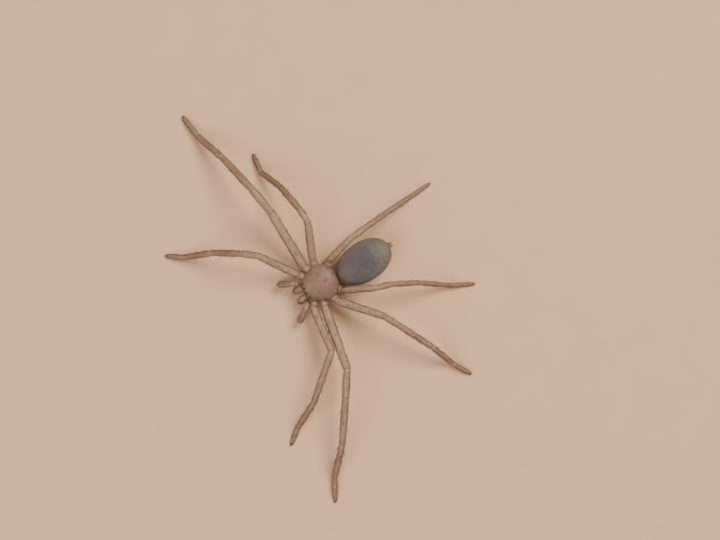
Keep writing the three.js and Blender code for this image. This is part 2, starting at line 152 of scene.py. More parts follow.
# Outlines of the leg parts: distance along the part, and width there beside the part's width.
# The coxa's is a radius in millimetres.
COXA_OUTLINE = [
    (0, 0.33), (0.4, 0.52), (0.68, 0.67), (0.76, 0.66), (0.84, 0.56), (0.92, 0.64), (1.12, 0.62)]
TROCHANTER_START = 0.8
PART_OUTLINES = [
    [(-0.06, 0.86), (0.04, 0.91), (0.12, 0.98), (0.26, 1), (0.62, 0.93), (0.93, 0.88), (1.06, 0.84)],
    [(-0.2, 0.84), (0.05, 0.88), (0.35, 1), (0.8, 0.98), (1.08, 0.9)],
    [(-0.05, 0.86), (0.05, 0.92), (0.18, 1), (0.6, 1), (0.93, 0.92), (1.08, 0.86)],
    [(-0.08, 0.88), (0.05, 0.94), (0.2, 1), (0.7, 0.97), (0.95, 0.88), (1.08, 0.86)],
    [(-0.12, 0.88), (0.05, 0.94), (0.3, 1), (0.72, 0.86), (0.9, 0.7), (0.98, 0.45), (1, 0)],
]
NODES_OF_A_LEG = ("coxa", "femur", "tibia", "metatarsus", "tarsus")
SIDES = ((-1, "right"), (1, "left"))

# Colours, as they look in daylight
TAN = (171, 138, 112)
TAN_PALE = (192, 162, 136)
BROWN = (122, 94, 75)
ROOT_BROWN = (170, 135, 114)
CARAPACE_BROWN = (151, 116, 99)
CARAPACE_PALE = (178, 144, 124)
ABDOMEN_GREY = (113, 101, 94)
ABDOMEN_DARK = (72, 69, 73)
ABDOMEN_OLIVE = (150, 136, 114)
HORN = (30, 14, 10)
FLOOR = (211, 167, 133)

# The photograph: its right and up directions on the floor, its middle and its width
PHOTO_RIGHT_DEGREES = 62
PHOTO_MIDDLE = (1.19, 6.92)
PHOTO_WIDTH = 120
CAMERA_HEIGHT = 700
SENSOR_WIDTH = 36


def eye_middle():
    """The middle between the front middle eyes, in the frame's millimetres."""
    corners = [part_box(f"eye_{side}_front_middle") for side in ("left", "right")]
    return np.array([(low + high) / 2 for low, high in corners]).mean(0) / MM


SHIFT = eye_middle() - np.array([0, *EYES["front_middle"][0][1:]])


def place(points):
    """Body millimetres to the frame's metres."""
    return (np.asarray(points, float) + SHIFT) * MM


# Small vector helpers


def unit(v):
    return v / np.maximum(np.linalg.norm(v, axis=-1, keepdims=True), 1e-12)


def bell(x, width):
    return np.exp(-((x / width) ** 2))


def step(x, low, high):
    t = np.clip((x - low) / (high - low), 0, 1)
    return t * t * (3 - 2 * t)


def column(values):
    return np.asarray(values, float)[..., None]


def circle(count):
    """Even angles all the way round."""
    return np.linspace(0, 2 * math.pi, count, endpoint=False)


def catmull(points, t):
    """A smooth curve through evenly spaced points, t from 0 to 1."""
    p = np.asarray(points, float)
    p = np.vstack([2 * p[0] - p[1], p, 2 * p[-1] - p[-2]])
    spans = len(points) - 1
    at = np.clip(np.asarray(t, float) * spans, 0, spans - 1e-9)
    i = at.astype(int)
    f = column(at - i)
    a, b, c, d = p[i], p[i + 1], p[i + 2], p[i + 3]
    square, cube = 2 * a - 5 * b + 4 * c - d, 3 * b - a - 3 * c + d
    return 0.5 * (2 * b + (c - a) * f + square * f**2 + cube * f**3)


def heading_vector(side, heading, slope):
    h, s = math.radians(heading), math.radians(slope)
    return np.array([side * math.sin(h) * math.cos(s), -math.cos(h) * math.cos(s), math.sin(s)])


# Meshes

rng = np.random.default_rng(27)


def new_mesh(name, points, faces, marks=None, uvs=None):
    """An object from points in body millimetres and a list of face arrays, 3 or 4 corners each."""
    mesh = bpy.data.meshes.new(name)
    points = np.asarray(points, float)
    counts = np.concatenate([np.full(len(f), f.shape[1]) for f in faces])
    corners = np.concatenate([f.ravel() for f in faces]).astype(np.int32)
    mesh.vertices.add(len(points))
    mesh.vertices.foreach_set("co", place(points).ravel())
    mesh.loops.add(len(corners))
    mesh.loops.foreach_set("vertex_index", corners)
    mesh.polygons.add(len(counts))
    mesh.polygons.foreach_set("loop_start", np.concatenate([[0], np.cumsum(counts)[:-1]]))
    mesh.polygons.foreach_set("use_smooth", np.ones(len(counts), bool))
    if marks is not None:
        layer = mesh.color_attributes.new("marks", "FLOAT_COLOR", "POINT")
        layer.data.foreach_set("color", np.asarray(marks, float).ravel())
    if uvs is not None:
        layer = mesh.uv_layers.new(name="OFBake")
        layer.data.foreach_set("uv", uvs[corners].ravel())
    mesh.update(calc_edges=True)
    mesh.validate()
    thing = bpy.data.objects.new(name, mesh)
    bpy.context.scene.collection.objects.link(thing)
    return thing


def piece(thing, material, nodes=()):
    thing.data.materials.append(material)
    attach(thing, "root")
    if nodes:
        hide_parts(*nodes)


def grid_faces(rings, sides):
    """Quads over a grid of rings whose last side meets the first, plus fans over both ends."""
    ring = np.arange(rings - 1)[:, None] * sides
    here = np.arange(sides)[None, :]
    beside = (here + 1) % sides
    quads = np.stack([ring + here, ring + beside, ring + sides + beside, ring + sides + here], -1)
    first, last = rings * sides, rings * sides + 1
    k = np.arange(sides)
    end = (rings - 1) * sides
    fans = np.vstack([
        np.stack([np.full(sides, first), (k + 1) % sides, k], -1),
        np.stack([np.full(sides, last), end + k, end + (k + 1) % sides], -1)])
    return [quads.reshape(-1, 4), fans]


class Skin:
    """A closed surface held as a grid: rings from one end to the other, sides round each ring.
    Its marks say how dark and how pale each point is, and how much of a third colour it has."""

    def __init__(self, grid, dark=0, pale=0, third=0):
        self.grid = grid
        self.marks = np.zeros((*grid.shape[:2], 4))
        for k, mark in enumerate((dark, pale, third)):
            self.marks[..., k] = np.clip(mark, 0, 1)

    def closed(self):
        rings, sides = self.grid.shape[:2]
        points = np.vstack([self.grid.reshape(-1, 3), self.grid[0].mean(0), self.grid[-1].mean(0)])
        ends = np.vstack([self.marks[0].mean(0), self.marks[-1].mean(0)])
        return points, grid_faces(rings, sides), np.vstack([self.marks.reshape(-1, 4), ends])

    def scatter(self, count, weight=None):
        """Random places on the surface: point, normal, direction along, marks and unwrapped place."""
        p = self.grid
        q = np.roll(p, -1, axis=1)
        along = (p[1:] + q[1:] - p[:-1] - q[:-1]) / 2
        across = (q[:-1] + q[1:] - p[:-1] - p[1:]) / 2
        normal = np.cross(across, along)
        chance = np.linalg.norm(normal, axis=-1)
        if weight is not None:
            chance = chance * weight[:-1]
        chance = chance.ravel() / chance.sum()
        cell = rng.choice(chance.size, count, p=chance)
        i, k = np.divmod(cell, p.shape[1])
        u, v = column(rng.random(count)), column(rng.random(count))
        rings, sides = p.shape[:2]

        def blend(values):
            j = (k + 1) % sides
            low = values[i, k] * (1 - v) + values[i, j] * v
            high = values[i + 1, k] * (1 - v) + values[i + 1, j] * v
            return low * (1 - u) + high * u

        return {
            "point": blend(p),
            "normal": unit(normal[i, k]),
            "along": unit(along[i, k]),
            "marks": blend(self.marks),
            "place": np.hstack([(column(i) + u) / (rings - 1), (column(k) + v) / sides]),
        }


def join(parts):
    """Several meshes as one. A part is its points, face arrays, marks and, if it has them, places
    on the unwrap."""
    faces, start = [], 0
    for part in parts:
        faces += [f + start for f in part[1]]
        start += len(part[0])
    points, _, *layers = zip(*parts)
    return np.vstack(points), faces, *(np.vstack(layer) for layer in layers)


def skins_mesh(name, skins):
    return new_mesh(name, *join([skin.closed() for skin in skins]))


# A hair's root is sunk in the skin, it leans over along its lie and bends a little further
DOWN = [(0, 1), (1, 0)]
HAIR = [(0, 1), (0.5, 0.75), (1, 0)]
BRISTLE = [(0, 1), (0.3, 0.95), (0.65, 0.7), (1, 0)]
SOCKET = [(0, 1), (0.55, 0.92), (0.9, 0.6), (1, 0)]
ROOT_DEPTH = 0.02
# Width of a hair's patch on the unwrap
PATCH = 0.003
# Radius of the finest hairs
FINE = 0.009


def spikes(roots, lie, length, radius, lean, droop, profile, sides=3):
    """Thin tapering spikes, all at once. lean is the angle from the surface's normal."""
    count = len(roots["point"])
    out = roots["normal"]
    lie = unit(lie - out * np.sum(lie * out, -1, keepdims=True))
    lean, length, radius = (column(np.broadcast_to(v, count)) for v in (lean, length, radius))
    start = unit(np.cos(lean) * out + np.sin(lean) * lie)
    across = unit(np.cross(start, out + 0.01 * np.roll(out, 1, axis=-1)))
    upward = np.cross(across, start)
    points, offsets = [], []
    for t, share in profile:
        bend = droop * t * t
        centre = roots["point"] - out * ROOT_DEPTH + length * ((t - bend) * start + bend * lie)
        for k in range(sides if share > 0 else 1):
            turn = 2 * math.pi * k / sides
            points.append(centre + radius * share * (math.cos(turn) * across + math.sin(turn) * upward))
            offsets.append(((k + 0.5) / sides - 0.5, t - 0.5))
    points = np.stack(points, 1)
    each = points.shape[1]
    faces = []
    for ring in range(len(profile) - 2):
        low = ring * sides
        for k in range(sides):
            j = (k + 1) % sides
            faces.append((low + k, low + j, low + sides + j, low + sides + k))
    low = (len(profile) - 2) * sides
    caps = [(low + k, low + (k + 1) % sides, each - 1) for k in range(sides)]
    base = np.arange(count)[:, None, None] * each
    face_list = [(base + np.array(f)[None]).reshape(-1, len(f[0])) for f in (faces, caps) if f]
    marks = np.repeat(roots["marks"][:, None], each, 1)
    uvs = roots["place"][:, None] + np.array(offsets)[None] * PATCH
    return points.reshape(-1, 3), face_list, marks.reshape(-1, 4), uvs.reshape(-1, 2)


def draw(value, count):
    """A tuple is a range to draw from."""
    return rng.uniform(*value, count) if isinstance(value, tuple) else value


def hairs(skin, weight, lie, loose, *lots, dark=None, pale=None):
    """Hairs scattered over a skin. lie(roots) gives the directions that they lie in and loose
    how far they stray. A lot is its count, lengths, leans, radius, droop, profile and how much
    darker than the skin it is. dark and pale replace the skin's marks."""
    parts = []
    for count, lengths, leans, radius, droop, profile, darker in lots:
        roots = skin.scatter(count, weight)
        marks = roots["marks"]
        marks[:, 0] = np.clip(marks[:, 0] + draw(darker, count), 0, 1) if dark is None else dark
        if pale is not None:
            marks[:, 1] = draw(pale, count)
        direction = lie(roots) + loose * rng.normal(size=(count, 3))
        length, lean = draw(lengths, count), np.radians(draw(leans, count))
        parts.append(spikes(roots, direction, length, radius, lean, droop, profile))
    return join(parts)


def along_skin(roots):
    return roots["along"]


def towards(*direction):
    return lambda roots: np.array(direction, float)


def coat(name, parts, material):
    points, faces, marks, uvs = join(parts)
    points[:, 2] = np.maximum(points[:, 2], FLOOR_CLEARANCE)
    piece(new_mesh(name, points, faces, marks, uvs), material)


# Materials


def srgb(colour):
    c = np.asarray(colour, float) / 255
    linear = np.where(c <= 0.04045, c / 12.92, ((c + 0.055) / 1.055) ** 2.4)
    return (*linear.tolist(), 1)


class Nodes:
    """A short way to write a node material. Sizes are given in millimetres."""

    def __init__(self, name):
        self.material = bpy.data.materials.new(name)
        self.material.use_nodes = True
        self.tree = self.material.node_tree
        self.shader = self.tree.nodes["Principled BSDF"]
        self.place = self.new("ShaderNodeTexCoord").outputs["Object"]

    def new(self, kind, **settings):
        node = self.tree.nodes.new(kind)
        for key, value in settings.items():
            setattr(node, key, value)
        return node

    def put(self, value, socket):
        """A link from another node, or a value of the socket's own."""
        if isinstance(value, bpy.types.NodeSocket):
            self.tree.links.new(value, socket)
        else:
            socket.default_value = value

    def noise(self, size, detail):
        node = self.new("ShaderNodeTexNoise")
        self.put(1 / (size * MM), node.inputs["Scale"])
        self.put(detail, node.inputs["Detail"])
        self.put(self.place, node.inputs["Vector"])
        return node.outputs["Fac"]

    def ramp(self, value, low, high, to_low=0, to_high=1):
        node = self.new("ShaderNodeMapRange")
        sockets = ("Value", "From Min", "From Max", "To Min", "To Max")
        for key, number in zip(sockets, (value, low, high, to_low, to_high)):
            self.put(number, node.inputs[key])
        return node.outputs["Result"]

    def mix(self, factor, a, b):
        node = self.new("ShaderNodeMix", data_type="RGBA")
        for key, value in (("Factor", factor), ("A", a), ("B", b)):
            self.put(value, next(s for s in node.inputs if s.name == key and s.enabled))
        return next(s for s in node.outputs if s.enabled)

    def marks(self):
        """How dark and how pale a point is, and its share of the third colour."""
        node = self.new("ShaderNodeAttribute", attribute_name="marks")
        parts = self.new("ShaderNodeSeparateColor")
        self.put(node.outputs["Color"], parts.inputs["Color"])
        return parts.outputs

    def bump(self, layers):
        """layers are (height, strength, depth in millimetres) from coarse to fine."""
        normal = None
        for height, strength, depth in layers:
            node = self.new("ShaderNodeBump")
            self.put(strength, node.inputs["Strength"])
            self.put(depth * MM, node.inputs["Distance"])
            self.put(height, node.inputs["Height"])
            if normal is not None:
                self.put(normal, node.inputs["Normal"])
            normal = node.outputs["Normal"]
        self.put(normal, self.shader.inputs["Normal"])

    def finish(self, colour, roughness, specular):
        self.put(colour, self.shader.inputs["Base Color"])
        self.put(roughness, self.shader.inputs["Roughness"])
        self.put(specular, self.shader.inputs["Specular IOR Level"])
        return self.material


def skin_material(name, base, dark, pale, third, rough=(0.42, 0.62)):
    """Cuticle: mottled, darker and paler by its marks, finely grained."""
    n = Nodes(name)
    darkness, paleness, third_share = n.marks()
    blotch = n.ramp(n.noise(0.9, 4), 0.35, 0.7)
    patch = n.ramp(n.noise(2.6, 3), 0.38, 0.66)
    speck = n.ramp(n.noise(0.16, 2), 0.52, 0.7)
    colour = n.mix(blotch, srgb(base), srgb([c * 0.92 for c in base]))
    colour = n.mix(patch, colour, srgb([c * 1.06 for c in base]))
    colour = n.mix(third_share, colour, srgb(third))
    colour = n.mix(darkness, colour, srgb(dark))
    colour = n.mix(paleness, colour, srgb(pale))
    colour = n.mix(n.ramp(speck, 0, 1, 0, 0.22), colour, srgb(dark))
    grain = n.noise(0.07, 3)
    n.bump([(n.noise(0.6, 3), 0.25, 0.05), (grain, 0.35, 0.012)])
    return n.finish(colour, n.ramp(blotch, 0, 1, *rough), 0.35)


def hair_material(name, base, dark, pale, third):
    """Hair, which carries the marks of the skin that it grows from."""
    n = Nodes(name)
    darkness, paleness, third_share = n.marks()
    colour = n.mix(third_share, srgb(base), srgb(third))
    colour = n.mix(darkness, colour, srgb(dark))
    colour = n.mix(paleness, colour, srgb(pale))
    colour = n.mix(n.ramp(n.noise(0.8, 2), 0.3, 0.7, 0, 0.25), colour, srgb(dark))
    return n.finish(colour, 0.5, 0.3)


def horn_material(name, colour, rough):
    n = Nodes(name)
    grain = n.noise(0.15, 3)
    tone = n.mix(n.ramp(grain, 0.3, 0.7), srgb(colour), srgb([c * 1.6 for c in colour]))
    n.bump([(grain, 0.1, 0.01)])
    return n.finish(tone, n.ramp(grain, 0.3, 0.7, rough, rough + 0.1), 0.5)


def eye_material():
    n = Nodes("eye_lens")
    cloud = n.noise(0.12, 2)
    tone = n.mix(n.ramp(cloud, 0.3, 0.7), srgb((10, 8, 9)), srgb((26, 20, 20)))
    n.bump([(cloud, 0.02, 0.004)])
    return n.finish(tone, n.ramp(cloud, 0.3, 0.7, 0.04, 0.08), 0.6)


def floor_material():
    n = Nodes("floor")
    grain = n.noise(6, 4)
    tone = n.mix(n.ramp(grain, 0.3, 0.7), srgb(FLOOR), srgb([c * 0.985 for c in FLOOR]))
    n.bump([(n.noise(0.4, 2), 0.04, 0.02)])
    return n.finish(tone, 0.7, 0.2)


LEG_SKIN = skin_material("leg_skin", TAN, BROWN, TAN_PALE, ROOT_BROWN)
LEG_HAIR = hair_material("leg_hair", (168, 135, 110), (84, 60, 46), TAN_PALE, (152, 117, 98))
BODY_SKIN = skin_material(
    "carapace_skin", CARAPACE_BROWN, (88, 60, 49), CARAPACE_PALE, (122, 90, 75), rough=(0.38, 0.52))
BODY_HAIR = hair_material("carapace_hair", (150, 116, 98), (74, 52, 42), (190, 162, 140), (132, 100, 84))
ABDOMEN_SKIN = skin_material(
    "abdomen_skin", ABDOMEN_GREY, ABDOMEN_DARK, ABDOMEN_OLIVE, (124, 101, 84), rough=(0.5, 0.7))
ABDOMEN_HAIR = hair_material(
    "abdomen_hair", (114, 102, 94), (70, 67, 71), (158, 145, 122), (130, 107, 90))
JAW_SKIN = skin_material(
    "chelicera_skin", (170, 130, 108), (76, 50, 40), (186, 150, 128), (112, 80, 65), rough=(0.3, 0.42))
SPINE_HORN = horn_material("spine_horn", (76, 54, 41), 0.35)
FANG_HORN = horn_material("fang_horn", HORN, 0.18)
EYE_LENS = eye_material()


# Limbs


class Path:
    """A limb's centre line: straight parts whose corners are rounded, measured along the corners."""

    def __init__(self, points, rounding):
        self.points = np.asarray(points, float)
        spans = np.linalg.norm(np.diff(self.points, axis=0), axis=1)
        self.starts = np.concatenate([[0], np.cumsum(spans)])
        self.spans = spans
        self.directions = unit(np.diff(self.points, axis=0))
        self.rounding = rounding

    def part(self, along):
        return np.clip(np.searchsorted(self.starts, along, "right") - 1, 0, len(self.spans) - 1)

    def at(self, along):
        """Point, direction along, direction to the side and direction up."""
        along = np.asarray(along, float)
        part = self.part(along)
        offset = column(along - self.starts[part])
        centre = self.points[part] + self.directions[part] * offset
        tangent = self.directions[part].copy()
        for j in range(1, len(self.spans)):
            b = self.rounding[j - 1]
            near = np.abs(along - self.starts[j]) < b
            u = column((along[near] - self.starts[j] + b) / (2 * b))
            arriving, leaving = self.directions[j - 1], self.directions[j]
            corner = self.points[j]
            a, c = corner - arriving * b, corner + leaving * b
            centre[near] = a * (1 - u) ** 2 + 2 * corner * u * (1 - u) + c * u**2
            tangent[near] = unit(arriving * (1 - u) + leaving * u)
        side = unit(np.cross(tangent, np.array([0, 0, 1.0])))
        return centre, tangent, side, np.cross(side, tangent)


def tube(path, along, radius, sides, tall=1, lowest=-math.inf):
    """A grid of rings round a path, and each side's angle, 0 on top. tall stretches rings upwards."""
    centre, _, side, up = path.at(along)
    turn = circle(sides)
    high = np.cos(turn) * np.broadcast_to(tall, (len(along), 1))
    far = np.broadcast_to(np.sin(turn), high.shape)
    ring = high[..., None] * up[:, None] + far[..., None] * side[:, None]
    grid = centre[:, None] + ring * radius[:, None, None]
    grid[..., 2] = np.maximum(grid[..., 2], lowest)
    return grid, turn


def outline_at(outline, s):
    """An outline's values at s, its corners rounded except at the end."""
    at, share = zip(*outline)
    fine = np.linspace(at[0], at[-1], 400)
    values = np.interp(fine, at, share)
    reach = 9
    window = np.ones(2 * reach + 1) / (2 * reach + 1)
    soft = np.convolve(np.pad(values, reach, mode="edge"), window, "valid")
    soft[-reach:] = values[-reach:]
    return np.interp(s, fine, soft)


LEG_SIDES = 28
# Distances of rings from a joint, from the tip and from the root, and between the others
JOINT_OFFSETS = [
    -0.6, -0.42, -0.3, -0.22, -0.16, -0.11, -0.07, -0.04, -0.015, 0.01, 0.04, 0.08, 0.12, 0.17, 0.23,
    0.3, 0.42, 0.6]
TIP_OFFSETS = np.array([0.45, 0.3, 0.2, 0.12, 0.07, 0.035, 0.012])
ROOT_OFFSETS = (0.006, 0.02, 0.045, 0.08, 0.13, 0.2)
RING_SPACING = 0.28
# Length of the rounded end at a limb's root
ROOT_ROUNDING = 0.22


def ring_places(path, joints):
    """Distances along a path, close together at its joints and its ends."""
    total = path.starts[-1]
    near = JOINT_OFFSETS[-1] + 0.02
    begin = ROOT_OFFSETS[-1] + 0.04
    places = [
        p for p in np.arange(begin, total - TIP_OFFSETS[0] - 0.05, RING_SPACING)
        if all(abs(p - joint) > near for joint in joints)]
    places += [p for joint in joints for p in joint + np.array(JOINT_OFFSETS) if p > begin]
    return np.array(sorted([*ROOT_OFFSETS, *places, *(total - TIP_OFFSETS)]))


def joint_shape(along, joint, depth):
    """Radius factor, pale membrane and dark rim near one joint."""
    d = along - joint
    rim = 0.035 * bell(d + 0.22, 0.14)
    lip = np.where(d > -0.03, 1 - depth * bell(d - 0.06, 0.17), 1)
    return (1 + rim) * lip, bell(d - 0.07, 0.09), bell(d + 0.1, 0.07)


class Limb:
    """A jointed limb. outlines gives the width of each part, scales what its shares are shares of,
    and joints the distance and depth of each joint's groove."""

    def __init__(self, points, rounding, outlines, scales, joints, sides, tallness=lambda along: 1):
        self.path = Path(points, rounding)
        starts, spans = self.path.starts, self.path.spans
        self.along = ring_places(self.path, [where for where, _ in joints])
        part = self.path.part(self.along)
        radius = np.zeros(len(self.along))
        for k, (outline, scale) in enumerate(zip(outlines, scales)):
            here = part == k
            radius[here] = outline_at(outline, (self.along[here] - starts[k]) / spans[k]) * scale
        radius = np.maximum(radius - COAT_DEPTH, 0.02)
        self.pale, self.dark = np.zeros(len(radius)), np.zeros(len(radius))
        for joint, depth in joints:
            factor, membrane, rim = joint_shape(self.along, joint, depth)
            radius = radius * factor
            self.pale = np.maximum(self.pale, membrane * step(depth, 0.08, 0.12))
            self.dark = np.maximum(self.dark, rim)
        radius = radius * np.sqrt(1 - (1 - np.clip(self.along / ROOT_ROUNDING, 0, 1)) ** 2)
        self.grid, self.turn = tube(self.path, self.along, radius, sides, tallness(self.along), 0)
        self.radius = radius

    def surface(self, along, turn):
        """Points on the limb and the directions out, along and up there."""
        centre, tangent, side, up = self.path.at(along)
        out = np.cos(turn)[:, None] * up + np.sin(turn)[:, None] * side
        radius = np.interp(along, self.along, self.radius)
        return centre + out * radius[:, None], out, tangent


def leg_joints(side, pair, size, headings, slopes):
    lengths, widths, _ = PAIRS[pair]
    start = heading_vector(side, headings[0], 0) * COXA_START + [0, 0, COXA_START_HEIGHT]
    joints = [heading_vector(side, headings[0], 0) * FEMUR_START + [0, 0, FEMUR_START_HEIGHT]]
    ends = {3: ANKLE_HEIGHT, 4: widths[-1] * TOE_HEIGHT_SHARE}
    for i, pair_length in enumerate(lengths):
        length = pair_length * size
        last = joints[-1]
        slope = slopes[i] if i < 3 else math.degrees(math.asin((ends[i] - last[2]) / length))
        joints.append(last + heading_vector(side, headings[i + 1], slope) * length)
    return start, joints


# Where the first joint of a leg lies along its coxa, how deep the grooves of its joints are, and
# over what length its corners are rounded
TROCHANTER_SHARE = 0.84
JOINT_DEPTHS = (0.1, 0.12, 0.16, 0.08, 0.16, 0.12)
LEG_ROUNDING = (0.3, 0.5, 0.35, 0.4, 0.3)


def build_leg(side, pair, size, headings, slopes):
    start, joints = leg_joints(side, pair, size, headings, slopes)
    points = [start, *joints]
    starts = Path(points, LEG_ROUNDING).starts
    places = [TROCHANTER_SHARE * starts[1], *starts[1:-1]]
    _, widths, stoutness = PAIRS[pair]
    coxa = [(at, radius * (stoutness if at < TROCHANTER_START else 1)) for at, radius in COXA_OUTLINE]
    return Limb(
        points, LEG_ROUNDING, [coxa, *PART_OUTLINES],
        [1, *(width / 2 for width in widths)], list(zip(places, JOINT_DEPTHS)), LEG_SIDES,
        lambda along: column(np.where(along < starts[1], COXA_TALLNESS, 1)))


def leg_marks(leg):
    """A leg is reddish at the root, tan, and brown towards the toes, with painted shade down its flanks
    and a painted highlight along the top of the femur.
    """
    starts, spans = leg.path.starts, leg.path.spans
    c = leg.along[:, None]
    # Painted light: top gives the painted highlight along the femur, flank the painted shade down the
    # leg's sides
    top = 0.5 + 0.5 * np.cos(leg.turn)
    flank = np.abs(np.sin(leg.turn))
    ends = step(c, starts[3] + 0.6 * spans[3], starts[5])
    toes = step(c, starts[5] + 0.3, starts[6])
    top_highlight = step(c, starts[1], starts[1] + 1) * (1 - step(c, starts[2] - 1, starts[2])) * top**6
    beyond_root = step(c, starts[1] + 0.3, starts[1] + 1)
    rims, membranes = leg.dark[:, None], leg.pale[:, None]
    dark = 0.05 + 0.04 * ends + 0.15 * toes + (0.1 + 0.14 * beyond_root) * flank**5 - 0.05 * top_highlight
    dark = np.maximum(dark, (0.1 + 0.22 * beyond_root) * rims) * (1 - 0.7 * membranes)
    pale = (0.1 + 0.3 * beyond_root) * membranes + 0.2 * top_highlight
    return dark, pale, 1 - 0.9 * step(c, starts[1] - 0.4, starts[1] + 0.3 * spans[1])


# Spines of each leg part: shares of its length and the angles round it, 0 on top
SPINES = {
    1: [((0.22, 0.46, 0.7), (0,)), ((0.3, 0.55, 0.8), (62, -62))],
    2: [((0.55,), (80, -80))],
    3: [((0.25, 0.62), (75, -75)), ((0.1, 0.36, 0.62, 0.9), (145, -145)), ((0.45,), (0,))],
    4: [((0.12, 0.45), (80, -80)), ((0.06, 0.4), (148, -148))],
}
SPINE_LENGTHS = {1: 0.95, 2: 0.8, 3: 1.1, 4: 1.15}
SPINE_RADIUS = 0.042
# The leg length that the spines' lengths are given for
SPINE_LEG_LENGTH = 27


def leg_spines(leg):
    """Roots of the spines: distance along the leg, angle round it and length."""
    starts, spans = leg.path.starts, leg.path.spans
    rows = [
        (starts[part] + share * spans[part], math.radians(angle), SPINE_LENGTHS[part])
        for part, groups in SPINES.items() for shares, angles in groups for share in shares
        for angle in angles]
    along, turn, length = np.array(rows).T
    along = along + rng.uniform(-0.25, 0.25, len(rows))
    turn = turn + np.radians(rng.uniform(-9, 9, len(rows)))
    point, out, tangent = leg.surface(along, turn)
    total = starts[-1]
    roots = {
        "point": point, "normal": out, "along": tangent, "marks": np.zeros((len(rows), 4)),
        "place": np.stack([along / total, (turn / (2 * math.pi)) % 1], -1)}
    return roots, length * rng.uniform(0.85, 1.1, len(rows)) * spans.sum() / SPINE_LEG_LENGTH


# Lying hairs, bent hairs and bristles
LEG_HAIRS_PER_MM = (720, 110, 26)
BRUSH_HAIRS = 2400
# A weight so small that it only keeps every place possible
EVERYWHERE = 1e-6
SOCKET_LENGTH, SOCKET_RADIUS = 0.1, 0.085
CLAW_LENGTH, CLAW_RADIUS = 0.44, 0.04


def dress_leg(name, leg, skin):
    starts, spans = leg.path.starts, leg.path.spans
    c = leg.along[:, None]
    z = leg.grid[..., 2]
    # Hair is a little closer on the last two parts, and only below on the coxa's inner end
    density = (0.65 + 0.35 * step(c, starts[2], starts[5])) * step(z, 0.03, 0.05)
    below = step(-np.cos(leg.turn), -0.2, 0.3)
    density = density * np.maximum(step(c, 0.7, 1.2), 0.7 * below * step(c, 0.1, 0.3))
    # The brush under metatarsus and tarsus, and the tuft round the claws
    under = step(-np.cos(leg.turn), 0.1, 0.75) * (z > 0.02)
    brush = step(c, starts[4] + 0.1 * spans[4], starts[4] + 0.35 * spans[4]) * under
    brush = brush + 0.8 * step(c, starts[6] - 0.5, starts[6] - 0.15)
    lying, bent, bristles = (int(per_mm * starts[-1]) for per_mm in LEG_HAIRS_PER_MM)
    brush = brush + EVERYWHERE
    coat(f"{name}_hair", [
        hairs(
            skin, density, along_skin, 0.22, (lying, (0.16, 0.36), (64, 82), 0.01, 0, DOWN, 0),
            (bent, (0.22, 0.42), (52, 76), 0.01, 0.25, HAIR, (0, 0.5))),
        hairs(
            skin, density, along_skin, 0.2,
            (bristles, (0.4, 0.72), (42, 65), 0.013, 0.35, BRISTLE, 0.5)),
        hairs(
            skin, brush, along_skin, 0.4,
            (BRUSH_HAIRS, (0.13, 0.26), (25, 60), 0.011, 0.2, HAIR, 0.25)),
    ], LEG_HAIR)
    roots, length = leg_spines(leg)
    spines = spikes(
        roots, roots["along"], length, SPINE_RADIUS, np.radians(rng.uniform(58, 68, len(length))), 0.12,
        BRISTLE, sides=6)
    sockets = spikes(
        roots, roots["along"], SOCKET_LENGTH, SOCKET_RADIUS, math.radians(25), 0, SOCKET, sides=8)
    coat(f"{name}_spines", [spines, sockets], SPINE_HORN)


def leg_claws(leg):
    """Two small hooks at the end of a leg."""
    tip = leg.path.starts[-1]
    centre, tangent, side, up = leg.path.at(np.full(2, tip - 0.14))
    apart = np.array([[-1], [1]]) * side
    return {
        "point": centre + 0.08 * apart + 0.1 * up, "normal": unit(tangent + 0.5 * up + 0.3 * apart),
        "along": unit(0.5 * tangent - up), "marks": np.zeros((2, 4)),
        "place": np.stack([np.full(2, 0.99), [0.1, 0.9]], -1)}


def add_legs():
    claws = []
    for number, (name, pose) in enumerate(LEGS.items()):
        leg = build_leg(*pose)
        skin = Skin(leg.grid, *leg_marks(leg))
        nodes = [f"{name}_{part}" for part in NODES_OF_A_LEG]
        piece(skins_mesh(f"{name}_skin", [skin]), LEG_SKIN, nodes)
        dress_leg(name, leg, skin)
        roots = leg_claws(leg)
        roots["place"] = (roots["place"] + [0, number]) * [1, 1 / len(LEGS)]
        claws.append(spikes(
            roots, roots["along"], CLAW_LENGTH, CLAW_RADIUS, math.radians(14), 0.45, BRISTLE, sides=8))
    coat("claws", claws, FANG_HORN)


# Body


def lofted(stations, centre_height, rings, sides):
    """A grid whose elliptical sections follow stations of y, half width, height above, depth below.
    It also gives each side's angle, 0 on the left flank and 90 degrees on top."""
    even = np.linspace(0.004, 0.996, rings)
    t = 0.5 * even + 0.5 * (0.5 - 0.5 * np.cos(math.pi * even))
    y, width, above, below = catmull(stations, t).T
    angle = circle(sides)
    width, above, below = (column(np.maximum(v - COAT_DEPTH, 0.01)) for v in (width, above, below))
    height = np.where(np.sin(angle) >= 0, above, below)
    grid = np.stack(np.broadcast_arrays(
        width * np.cos(angle), column(y), centre_height + height * np.sin(angle)), -1)
    return grid, angle


def ball_skin(centre, size, marks=(), turn=0):
    """An ellipsoid whose rings run along Y. turn is in degrees about Z."""
    t, angle = column(np.linspace(0.02, 0.98, 20) * math.pi), circle(28)
    grid = np.stack(np.broadcast_arrays(
        np.sin(t) * np.cos(angle), -np.cos(t), np.sin(t) * np.sin(angle)), -1) * size
    c, s = math.cos(math.radians(turn)), math.sin(math.radians(turn))
    grid = grid @ np.array([[c, s, 0], [-s, c, 0], [0, 0, 1]]) + centre
    return Skin(grid, *marks)


